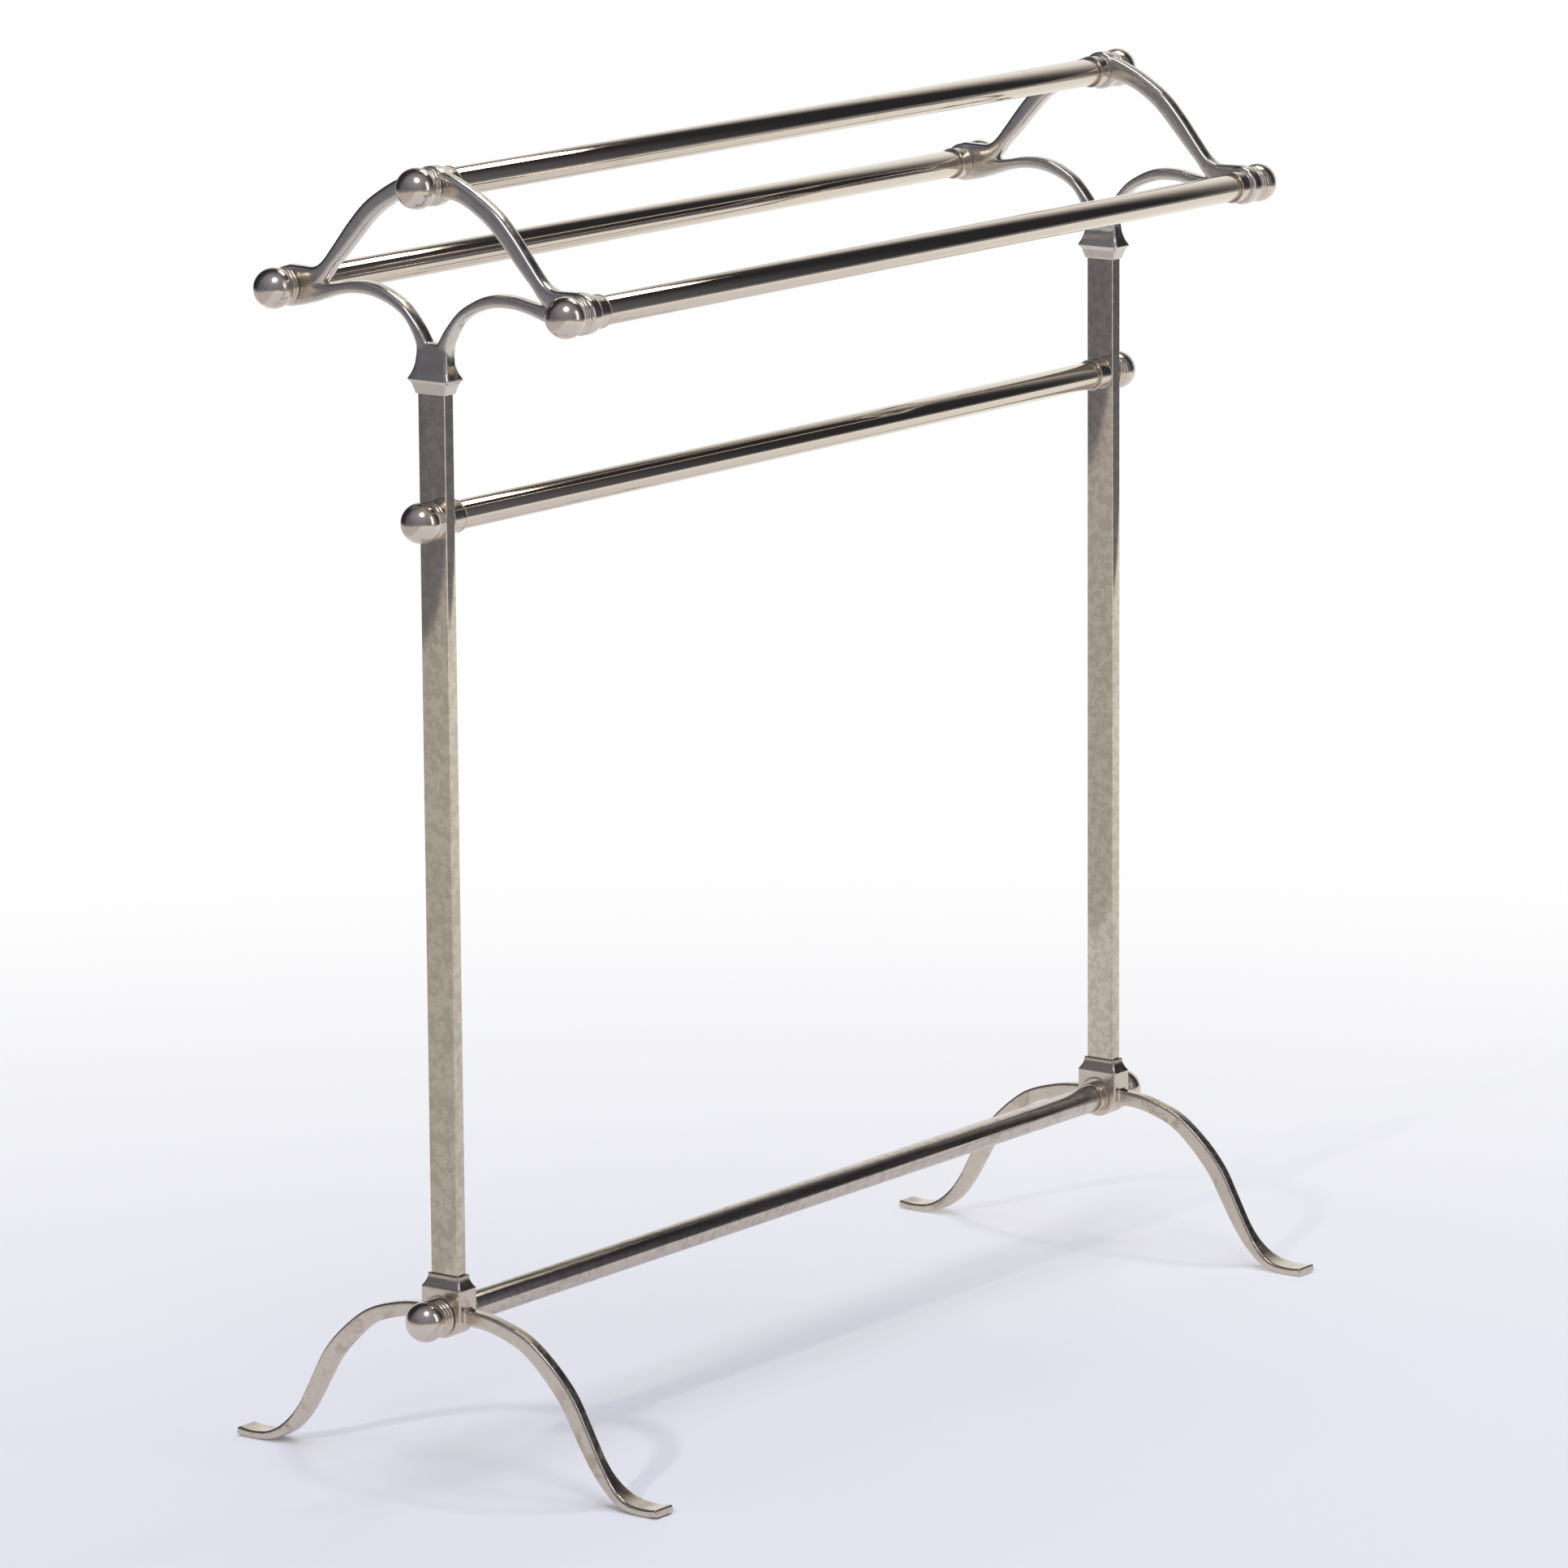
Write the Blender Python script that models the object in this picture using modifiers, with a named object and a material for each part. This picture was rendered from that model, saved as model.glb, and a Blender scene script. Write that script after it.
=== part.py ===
"""Free-standing towel stand in nickel-plated brass: two cast end frames joined by five round rails.

Metres, +Z up. X runs along the rails, Y from front (-) to back (+), and the floor is z = 0
under the middle of the stand.
"""

import math

import bmesh
import bpy
from mathutils import Vector

# Overall layout: the axes of the rails and the planes of the two end frames.
POST_SPACING = 0.753
TOP_RAIL_Z = 0.848
SIDE_RAIL_Z = 0.775
SIDE_RAIL_Y = 0.119
MIDDLE_RAIL_Z = 0.633
STRETCHER_Z = 0.108
FOOT_REACH = 0.1752

# Rails, studs and the clearance kept between pieces that touch.
FIT_GAP = 0.0003
WELD_DISTANCE = 0.000002
RAIL_RADIUS = 0.0095
RAIL_WALL = 0.0010
STUD_RADIUS = 0.0030
STUD_IN_PLUG = 0.0140
PLUG_LENGTH = 0.0160
PLUG_INSET = 0.0010

# Ferrules: the short sleeves that seat the rail ends.
FERRULE_WALL = 0.0008
FERRULE_END = 0.0175
FERRULE_SOCKET = 0.0060
FERRULE_BEAD = 0.0004

# Ball finials on a neck of small beads.
BALL_RADIUS = 0.0134
NECK_RADIUS = 0.0116
SHOULDER_RADIUS = 0.0122
BEAD_RADIUS = 0.0126
BEAD_LENGTH = 0.0030
FINIAL_BORE_PAST_NECK = 0.0080

# Posts: flat rectangular tube, longer side along Y.
POST_DEPTH = 0.0220
POST_WIDTH = 0.0092
POST_CHAMFER = 0.0008
POST_WALL = 0.0012
INSERT_LENGTH = 0.0300
HEAD_STUD_LENGTH = 0.0260

# Head casting: bosses, arms, neck and the collar that takes the post.
BOSS_RADIUS = 0.0131
BOSS_OUT = 0.0045
BOSS_IN = 0.0068
BOSS_EDGE = 0.0022
ARM_CENTRE = 0.0010
UPPER_ARM_DEPTH = 0.0114
LOWER_ARM_DEPTH = 0.0082
ARM_WIDTH = 0.0106
ARM_CHAMFER = 0.0021
COLLAR_Z = 0.7144
COLLAR_WALL = 0.0012
COLLAR_SEAT = 0.0060
COLLAR_TO_LIP = 0.0096
LIP_OVERHANG = 0.0043
NECK_Z = 0.7380
NECK_HALF_DEPTH = 0.0122
NECK_HALF_WIDTH = 0.0052

# Base casting: block, moulded cap, round boss and the two legs.
BLOCK_HALF_DEPTH = 0.0162
BLOCK_HALF_WIDTH = 0.0090
BLOCK_TOP = 0.0200
CAP_HEIGHT = 0.0078
CAP_WALL = 0.0012
CAP_SEAT = 0.0080
BASE_BOSS_RADIUS = 0.0142
BASE_BOSS_PROUD = 0.0003
TENON_PAST_STUD = 0.0036
LEG_WIDTH = 0.0086
LEG_CHAMFER = 0.0008
TOE_WIDTH = 0.0188
TOE_THICKNESS = 0.0052

# Facets round a full turn.
FINE = 24
MEDIUM = 16
COARSE = 12

HALF_SPACING = POST_SPACING / 2
RAIL_END = FERRULE_END - FERRULE_SOCKET + FIT_GAP
BORE_RADIUS = STUD_RADIUS + FIT_GAP
FERRULE_RADIUS = RAIL_RADIUS + FIT_GAP + FERRULE_WALL
CAP_TOP = STRETCHER_Z + BLOCK_TOP + CAP_HEIGHT
POST_FOOT = CAP_TOP - CAP_SEAT + FIT_GAP
POST_HEAD = COLLAR_Z + COLLAR_SEAT - FIT_GAP
TENON_END = STRETCHER_Z - BORE_RADIUS - TENON_PAST_STUD
TAU = 2 * math.pi


# ---------------------------------------------------------------- scene and helpers


def clear_scene():
    for obj in list(bpy.data.objects):
        bpy.data.objects.remove(obj, do_unlink=True)


def new_collection(name):
    group = bpy.data.collections.new(name)
    bpy.context.scene.collection.children.link(group)
    return group


def metal(name, colour, roughness):
    material = bpy.data.materials.new(name)
    material.use_nodes = True
    shader = material.node_tree.nodes["Principled BSDF"]
    shader.inputs["Base Color"].default_value = (*colour, 1.0)
    shader.inputs["Metallic"].default_value = 1.0
    shader.inputs["Roughness"].default_value = roughness
    return material


clear_scene()
PARTS = new_collection("towel_stand")
CUTTERS = new_collection("cutters")
POLISHED_NICKEL = (0.66, 0.63, 0.59)
WORN_NICKEL = (0.42, 0.40, 0.37)
SATIN_NICKEL = (0.60, 0.57, 0.53)
BARE_BRASS = (0.70, 0.52, 0.26)


def add_part(name, mesh, colour, roughness):
    obj = bpy.data.objects.new(name, mesh)
    PARTS.objects.link(obj)
    mesh.materials.clear()
    mesh.materials.append(metal(name, colour, roughness))
    mesh.shade_smooth()
    mesh.set_sharp_from_angle(angle=math.radians(35))
    return obj


def add_helper(name, mesh):
    obj = bpy.data.objects.new(name, mesh)
    CUTTERS.objects.link(obj)
    obj.hide_render = True
    obj.display_type = "WIRE"
    return obj


def combine(obj, helper, operation):
    boolean = obj.modifiers.new(helper.name, "BOOLEAN")
    boolean.operation = operation
    boolean.object = helper
    boolean.solver = "EXACT"


def weld(obj):
    """Merges the points that the cuts and joins leave a few nanometres apart."""
    modifier = obj.modifiers.new("weld", "WELD")
    modifier.merge_threshold = WELD_DISTANCE


def turned(obj, steps):
    """Turns the object's profile a full turn about its own Z axis."""
    screw = obj.modifiers.new("turn", "SCREW")
    screw.axis = "Z"
    screw.angle = TAU
    screw.steps = steps
    screw.render_steps = steps
    screw.use_merge_vertices = True
    screw.merge_threshold = 0.00001
    return obj


def profile_mesh(name, points, closed):
    """A line of (radius, height) points in the XZ plane."""
    mesh = bpy.data.meshes.new(name)
    edges = [(i, i + 1) for i in range(len(points) - 1)]
    if closed:
        edges.append((len(points) - 1, 0))
    mesh.from_pydata([(r, 0, h) for r, h in points], edges, [])
    return mesh


def lay_along_x(obj, x, y, z, side):
    """Points the object's +Z axis away from the middle of the stand, along X."""
    obj.rotation_euler = (0, side * math.pi / 2, 0)
    obj.location = (x, y, z)


def cylinder_mesh(name, radius, length, steps):
    """A closed cylinder along Z, centred on the origin."""
    bm = bmesh.new()
    bmesh.ops.create_cone(
        bm, cap_ends=True, segments=steps, radius1=radius, radius2=radius, depth=length
    )
    mesh = bpy.data.meshes.new(name)
    bm.to_mesh(mesh)
    bm.free()
    return mesh


def loft_mesh(name, rings):
    """Skins a row of equal-sized rings of points and closes both ends."""
    bm = bmesh.new()
    rows = [[bm.verts.new(point) for point in ring] for ring in rings]
    count = len(rows[0])
    for lower, upper in zip(rows, rows[1:]):
        for i in range(count):
            j = (i + 1) % count
            bm.faces.new((lower[i], lower[j], upper[j], upper[i]))
    bm.faces.new(rows[0][::-1])
    bm.faces.new(rows[-1])
    bmesh.ops.recalc_face_normals(bm, faces=bm.faces)
    mesh = bpy.data.meshes.new(name)
    bm.to_mesh(mesh)
    bm.free()
    return mesh


def chamfered_box(half_a, half_b, chamfer):
    """Eight corners of a rectangle with its corners cut off, in order."""
    a, b, c = half_a, half_b, chamfer
    return [
        (a - c, -b), (a, -b + c), (a, b - c), (a - c, b),
        (-a + c, b), (-a, b - c), (-a, -b + c), (-a + c, -b),
    ]  # fmt: skip


def stack_mesh(name, x, levels, chamfer):
    """A loft of level rectangles; each level is (z, half width in X, half depth in Y)."""
    rings = []
    for z, half_width, half_depth in levels:
        corners = chamfered_box(half_width, half_depth, chamfer)
        rings.append([Vector((x + dx, dy, z)) for dx, dy in corners])
    return loft_mesh(name, rings)


def smooth_path(knots, per_span):
    """Points on a Catmull-Rom curve through the knots, which may carry extra values."""
    points = []
    last = len(knots) - 1
    for i in range(last):
        p0, p1 = knots[max(i - 1, 0)], knots[i]
        p2, p3 = knots[i + 1], knots[min(i + 2, last)]
        for step in range(per_span):
            t = step / per_span
            points.append(
                tuple(
                    0.5 * (2 * b + (c - a) * t + (2 * a - 5 * b + 4 * c - d) * t**2
                           + (3 * b - a - 3 * c + d) * t**3)
                    for a, b, c, d in zip(p0, p1, p2, p3)
                )  # fmt: skip
            )
    points.append(tuple(knots[-1]))
    return points


def bar_mesh(name, x, path, chamfer):
    """A flat bar bent in the YZ plane; each path point is (y, z, depth, width)."""
    rings = []
    for i, (y, z, depth, width) in enumerate(path):
        before, after = path[max(i - 1, 0)], path[min(i + 1, len(path) - 1)]
        along = Vector((0, after[0] - before[0], after[1] - before[1])).normalized()
        across = along.cross(Vector((1, 0, 0)))
        centre = Vector((x, y, z))
        corners = chamfered_box(width / 2, depth / 2, chamfer)
        rings.append([centre + Vector((dx, 0, 0)) + across * da for dx, da in corners])
    return loft_mesh(name, rings)


def mirrored(path):
    return [(-y, *rest) for y, *rest in path]


# ---------------------------------------------------------------- rails and their fittings


def rail(name, y, z):
    """One round tube, open at both ends."""
    length = POST_SPACING - 2 * RAIL_END
    inner = RAIL_RADIUS - RAIL_WALL
    profile = [
        (RAIL_RADIUS, length / 2),
        (RAIL_RADIUS, -length / 2),
        (inner, -length / 2),
        (inner, length / 2),
    ]
    obj = add_part(name, profile_mesh(name, profile, True), POLISHED_NICKEL, 0.12)
    turned(obj, FINE)
    lay_along_x(obj, 0, y, z, 1)


def ferrule(name, side, y, z, mount_face):
    """The sleeve between a casting or post and the rail end, with its socket facing the rail."""
    far = FERRULE_END
    near = mount_face + FIT_GAP
    floor = far - FERRULE_SOCKET
    lip = FERRULE_RADIUS + FERRULE_BEAD
    socket = RAIL_RADIUS + FIT_GAP
    bead = 2 * FERRULE_BEAD
    profile = [
        (lip, -near),
        (lip, -near - bead),
        (FERRULE_RADIUS, -near - 2 * bead),
        (FERRULE_RADIUS, -far),
        (socket, -far),
        (socket, -floor),
        (BORE_RADIUS, -floor),
        (BORE_RADIUS, -near),
    ]
    obj = add_part(name, profile_mesh(name, profile, True), POLISHED_NICKEL, 0.15)
    turned(obj, MEDIUM)
    lay_along_x(obj, side * HALF_SPACING, y, z, side)


def finial(name, side, y, z, mount_face, beads):
    """A ball on a beaded neck, with a blind tapped bore in its back."""
    foot = mount_face + FIT_GAP
    neck_end = foot + beads * BEAD_LENGTH
    join = math.asin(SHOULDER_RADIUS / BALL_RADIUS)
    centre = neck_end + BALL_RADIUS * math.cos(join)
    profile = []
    ball_steps = 5
    for i in range(ball_steps + 1):
        angle = (math.pi - join) * i / ball_steps
        profile.append((BALL_RADIUS * math.sin(angle), centre + BALL_RADIUS * math.cos(angle)))
    for bead in range(beads - 1, -1, -1):
        start = foot + bead * BEAD_LENGTH
        profile.append((BEAD_RADIUS, start + 0.72 * BEAD_LENGTH))
        profile.append((BEAD_RADIUS, start + 0.28 * BEAD_LENGTH))
        profile.append((NECK_RADIUS, start))
    bore_end = neck_end + FINIAL_BORE_PAST_NECK
    profile += [(BORE_RADIUS, foot), (BORE_RADIUS, bore_end), (0, bore_end)]
    obj = add_part(name, profile_mesh(name, profile, False), POLISHED_NICKEL, 0.08)
    turned(obj, MEDIUM)
    lay_along_x(obj, side * HALF_SPACING, y, z, side)
    return bore_end


def tie_stud(name, side, y, z, outer_end):
    """The threaded rod that clamps finial, casting, ferrule and rail end together."""
    inner_end = -(RAIL_END + PLUG_INSET + STUD_IN_PLUG)
    length = outer_end - inner_end
    obj = add_part(name, cylinder_mesh(name, STUD_RADIUS, length, COARSE), BARE_BRASS, 0.35)
    x = side * (HALF_SPACING + (outer_end + inner_end) / 2)
    lay_along_x(obj, x, y, z, side)


def rail_plug(name, side, y, z):
    """The tapped brass plug soldered inside the end of a rail."""
    start = RAIL_END + PLUG_INSET
    outer = RAIL_RADIUS - RAIL_WALL - FIT_GAP
    profile = [
        (outer, -start),
        (outer, -start - PLUG_LENGTH),
        (BORE_RADIUS, -start - PLUG_LENGTH),
        (BORE_RADIUS, -start),
    ]
    obj = add_part(name, profile_mesh(name, profile, True), BARE_BRASS, 0.35)
    turned(obj, COARSE)
    lay_along_x(obj, side * HALF_SPACING, y, z, side)


def rail_station(label, side, y, z, outer_face, inner_face, beads):
    """Everything strung on the rail axis at one end frame."""
    bore_end = finial(label + "_finial", side, y, z, outer_face, beads)
    ferrule(label + "_ferrule", side, y, z, inner_face)
    tie_stud(label + "_tie_stud", side, y, z, bore_end - FIT_GAP)
    rail_plug(label + "_rail_plug", side, y, z)


# ---------------------------------------------------------------- posts


def rectangle_tube_mesh(name, half_width, half_depth, wall, length):
    """A rectangular tube standing on Z and centred on the origin, from a filled 2D outline."""
    curve = bpy.data.curves.new(name, "CURVE")
    curve.dimensions = "2D"
    curve.fill_mode = "BOTH"
    curve.extrude = length / 2
    outer = chamfered_box(half_width, half_depth, POST_CHAMFER)
    inner = chamfered_box(half_width - wall, half_depth - wall, POST_CHAMFER / 2)
    for outline in (outer, inner):
        spline = curve.splines.new("POLY")
        spline.points.add(len(outline) - 1)
        spline.use_cyclic_u = True
        for point, (x, y) in zip(spline.points, outline):
            point.co = (x, y, 0, 1)
    holder = bpy.data.objects.new(name + "_curve", curve)
    bpy.context.scene.collection.objects.link(holder)
    bpy.context.view_layer.update()
    graph = bpy.context.evaluated_depsgraph_get()
    mesh = bpy.data.meshes.new_from_object(holder.evaluated_get(graph))
    bm = bmesh.new()
    bm.from_mesh(mesh)
    bmesh.ops.remove_doubles(bm, verts=bm.verts, dist=0.00001)
    bmesh.ops.recalc_face_normals(bm, faces=bm.faces)
    bm.to_mesh(mesh)
    bm.free()
    bpy.data.objects.remove(holder, do_unlink=True)
    return mesh


def cross_bore(name, x, y, z, length):
    """A cutter along X for a tie stud."""
    cutter = add_helper(name, cylinder_mesh(name, BORE_RADIUS, length, COARSE))
    cutter.rotation_euler = (0, math.pi / 2, 0)
    cutter.location = (x, y, z)
    return cutter


def post(label, side):
    x = side * HALF_SPACING
    name = label + "_post"
    length = POST_HEAD - POST_FOOT
    mesh = rectangle_tube_mesh(name, POST_WIDTH / 2, POST_DEPTH / 2, POST_WALL, length)
    obj = add_part(name, mesh, WORN_NICKEL, 0.38)
    obj.location = (x, 0, (POST_HEAD + POST_FOOT) / 2)
    combine(obj, cross_bore(name + "_bore", x, 0, MIDDLE_RAIL_Z, 2 * POST_WIDTH), "DIFFERENCE")


def post_insert(label, side):
    """The tapped brass block in the top of a post, and the stud that holds the head casting."""
    x = side * HALF_SPACING
    name = label + "_post_insert"
    half_width = POST_WIDTH / 2 - POST_WALL - FIT_GAP
    half_depth = POST_DEPTH / 2 - POST_WALL - FIT_GAP
    top = POST_HEAD - PLUG_INSET
    levels = [(top - INSERT_LENGTH, half_width, half_depth), (top, half_width, half_depth)]
    obj = add_part(name, stack_mesh(name, x, levels, POST_CHAMFER / 2), BARE_BRASS, 0.35)
    slim = head_stud_radius()
    bore = cylinder_mesh(name + "_bore", slim + FIT_GAP, 2 * INSERT_LENGTH, COARSE)
    cutter = add_helper(name + "_bore", bore)
    cutter.location = (x, 0, top)
    combine(obj, cutter, "DIFFERENCE")
    stud = label + "_head_stud"
    rod = add_part(stud, cylinder_mesh(stud, slim, HEAD_STUD_LENGTH, COARSE), BARE_BRASS, 0.35)
    rod.location = (x, 0, POST_HEAD)


def head_stud_radius():
    """The head stud leaves at least a millimetre of brass beside it in the narrow insert."""
    return POST_WIDTH / 2 - POST_WALL - 2 * FIT_GAP - 0.0012


def post_tenon(label, side):
    """The brass tongue soldered in the foot of a post; the stretcher's stud pins it in the block."""
    x = side * HALF_SPACING
    name = label + "_post_tenon"
    half_width = POST_WIDTH / 2 - POST_WALL - FIT_GAP
    half_depth = POST_DEPTH / 2 - POST_WALL - FIT_GAP
    top = POST_FOOT + INSERT_LENGTH
    levels = [(TENON_END, half_width, half_depth), (top, half_width, half_depth)]
    obj = add_part(name, stack_mesh(name, x, levels, POST_CHAMFER / 2), BARE_BRASS, 0.35)
    combine(obj, cross_bore(name + "_bore", x, 0, STRETCHER_Z, 2 * POST_WIDTH), "DIFFERENCE")


# ---------------------------------------------------------------- head castings


def arm_knots(shape, low, rise, depth):
    """Path knots from (share of the rail offset in Y, share of the rise, share of the depth)."""
    return [(u * SIDE_RAIL_Y, low + v * rise, d * depth, ARM_WIDTH) for u, v, d in shape]


def upper_arm_path():
    """From the top boss down to a side boss: a long S, as shares of the span between the bosses."""
    shape = [
        (-0.06, 1.00, 1.25), (0.03, 1.00, 1.25), (0.17, 0.975, 1.12), (0.29, 0.90, 1.0),
        (0.42, 0.75, 1.0), (0.53, 0.575, 1.0), (0.65, 0.34, 1.0), (0.76, 0.16, 1.0),
        (0.88, 0.045, 1.2), (0.98, 0.0, 1.3), (1.06, 0.0, 1.3),
    ]  # fmt: skip
    rise = TOP_RAIL_Z - SIDE_RAIL_Z
    return smooth_path(arm_knots(shape, SIDE_RAIL_Z, rise, UPPER_ARM_DEPTH), 2)


def lower_arm_path():
    """From a side boss over an arch and down into the neck above the post."""
    shape = [
        (1.075, 0.975, 1.7), (0.97, 0.97, 1.7), (0.84, 0.92, 1.45), (0.71, 0.99, 1.05),
        (0.59, 1.065, 1.0),
        (0.47, 1.09, 1.0), (0.365, 1.035, 1.0), (0.27, 0.91, 1.0), (0.19, 0.735, 1.0),
        (0.125, 0.50, 1.0), (0.085, 0.26, 1.0), (0.06, -0.05, 1.0),
    ]  # fmt: skip
    rise = SIDE_RAIL_Z - NECK_Z
    return smooth_path(arm_knots(shape, NECK_Z, rise, LOWER_ARM_DEPTH), 2)


def boss_mesh(name):
    """The round boss that a rail passes through, with softened edges."""
    profile = [
        (0, BOSS_OUT),
        (BOSS_RADIUS - BOSS_EDGE, BOSS_OUT),
        (BOSS_RADIUS, BOSS_OUT - BOSS_EDGE),
        (BOSS_RADIUS, -BOSS_IN + BOSS_EDGE),
        (BOSS_RADIUS - BOSS_EDGE, -BOSS_IN),
        (0, -BOSS_IN),
    ]
    return profile_mesh(name, profile, False)


def neck_levels():
    """The flared neck, its lip and the hollow moulding under it, above the post's seat."""
    foot_width = POST_WIDTH / 2 + FIT_GAP + COLLAR_WALL
    foot_depth = POST_DEPTH / 2 + FIT_GAP + COLLAR_WALL
    lip_width = POST_WIDTH / 2 + LIP_OVERHANG
    lip_depth = POST_DEPTH / 2 + LIP_OVERHANG + COLLAR_WALL
    lip = COLLAR_Z + COLLAR_TO_LIP

    def between(share):
        width = foot_width + share * (lip_width - foot_width)
        return width, foot_depth + share * (lip_depth - foot_depth)

    def flare(share):
        width = NECK_HALF_WIDTH + share * (lip_width - NECK_HALF_WIDTH)
        return width, NECK_HALF_DEPTH + share * (lip_depth - NECK_HALF_DEPTH)

    moulding = ((0, 0), (0.375, 0.22), (0.74, 0.55), (0.92, 0.93), (1, 1))
    levels = [(COLLAR_Z + up * COLLAR_TO_LIP, *between(out)) for up, out in moulding]
    rise = NECK_Z - lip
    for share in (0.07, 0.25, 0.5, 0.75, 1):
        levels.append((lip + share * rise, *flare((1 - share) ** 1.6)))
    levels.append((NECK_Z + 0.4 * rise, NECK_HALF_WIDTH, NECK_HALF_DEPTH))
    return levels


def head_casting(label, side):
    """Three bosses, two upper and two lower arms, the neck and the collar, cast in one."""
    x = side * HALF_SPACING
    arm_x = x - side * ARM_CENTRE
    name = label + "_head_casting"
    obj = add_part(name, stack_mesh(name, x, neck_levels(), POST_CHAMFER), POLISHED_NICKEL, 0.22)
    for half, turn in (("front", mirrored), ("back", list)):
        for limb, path in (("lower_arm", lower_arm_path()), ("upper_arm", upper_arm_path())):
            helper_name = f"{label}_{half}_{limb}"
            bar = bar_mesh(helper_name, arm_x, turn(path), ARM_CHAMFER)
            combine(obj, add_helper(helper_name, bar), "UNION")
    for spot, y, z in head_stations():
        helper = add_helper(f"{label}_{spot}_boss", boss_mesh(f"{label}_{spot}_boss"))
        turned(helper, FINE)
        lay_along_x(helper, x, y, z, side)
        combine(obj, helper, "UNION")
    for spot, y, z in head_stations():
        bore = cross_bore(f"{label}_{spot}_bore", x, y, z, 6 * BOSS_IN)
        combine(obj, bore, "DIFFERENCE")
    pocket_levels = [
        (COLLAR_Z - COLLAR_SEAT, POST_WIDTH / 2 + FIT_GAP, POST_DEPTH / 2 + FIT_GAP),
        (COLLAR_Z + COLLAR_SEAT, POST_WIDTH / 2 + FIT_GAP, POST_DEPTH / 2 + FIT_GAP),
    ]
    pocket = stack_mesh(name + "_seat", x, pocket_levels, POST_CHAMFER)
    combine(obj, add_helper(name + "_seat", pocket), "DIFFERENCE")
    stud_top = POST_HEAD + HEAD_STUD_LENGTH / 2 + FIT_GAP
    stud_hole = head_stud_radius() + FIT_GAP
    bore = cylinder_mesh(name + "_stud_bore", stud_hole, 2 * HEAD_STUD_LENGTH, COARSE)
    cutter = add_helper(name + "_stud_bore", bore)
    cutter.location = (x, 0, stud_top - HEAD_STUD_LENGTH)
    combine(obj, cutter, "DIFFERENCE")
    weld(obj)


def head_stations():
    return (
        ("top", 0.0, TOP_RAIL_Z),
        ("front", -SIDE_RAIL_Y, SIDE_RAIL_Z),
        ("back", SIDE_RAIL_Y, SIDE_RAIL_Z),
    )


# ---------------------------------------------------------------- base castings


def leg_path():
    """One leg from the block over its knee to the toe: (y, z, depth, width)."""
    reach = FOOT_REACH
    drop = STRETCHER_Z
    sole = TOE_THICKNESS / 2
    shape = [
        (0.04, 1.00, 0.0110, LEG_WIDTH), (0.11, 1.005, 0.0104, LEG_WIDTH),
        (0.21, 0.985, 0.0100, LEG_WIDTH), (0.335, 0.925, 0.0104, LEG_WIDTH),
        (0.455, 0.795, 0.0114, LEG_WIDTH), (0.555, 0.615, 0.0118, LEG_WIDTH),
        (0.625, 0.425, 0.0114, LEG_WIDTH), (0.685, 0.250, 0.0100, LEG_WIDTH),
        (0.760, 0.117, 0.0080, 0.7 * LEG_WIDTH + 0.3 * TOE_WIDTH),
    ]  # fmt: skip
    knots = [(u * reach, v * drop, depth, width) for u, v, depth, width in shape]
    path = smooth_path(knots, 2)
    land = [(0.845, 0.0, 0.94), (0.885, 0.0, 1.0), (0.945, 0.0, 1.0), (1.0, 0.0012, 1.0)]
    path += [(u * reach, sole + lift, TOE_THICKNESS, w * TOE_WIDTH) for u, lift, w in land]
    return path


def block_levels():
    """The square block with its hollow-moulded cap, from the stretcher axis up."""
    cap_width = POST_WIDTH / 2 + FIT_GAP + CAP_WALL
    cap_depth = POST_DEPTH / 2 + FIT_GAP + CAP_WALL
    top = STRETCHER_Z + BLOCK_TOP

    def cove(share):
        width = BLOCK_HALF_WIDTH + share * (cap_width - BLOCK_HALF_WIDTH)
        return width, BLOCK_HALF_DEPTH + share * (cap_depth - BLOCK_HALF_DEPTH)

    levels = [
        (STRETCHER_Z - 0.003, BLOCK_HALF_WIDTH, BLOCK_HALF_DEPTH),
        (top - 0.001, BLOCK_HALF_WIDTH, BLOCK_HALF_DEPTH),
        (top, *cove(0.1)),
    ]
    for height, share in ((0.13, 0.45), (0.39, 0.78), (0.72, 0.93), (1.0, 1.0)):
        levels.append((top + height * CAP_HEIGHT, *cove(share)))
    return levels


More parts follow.
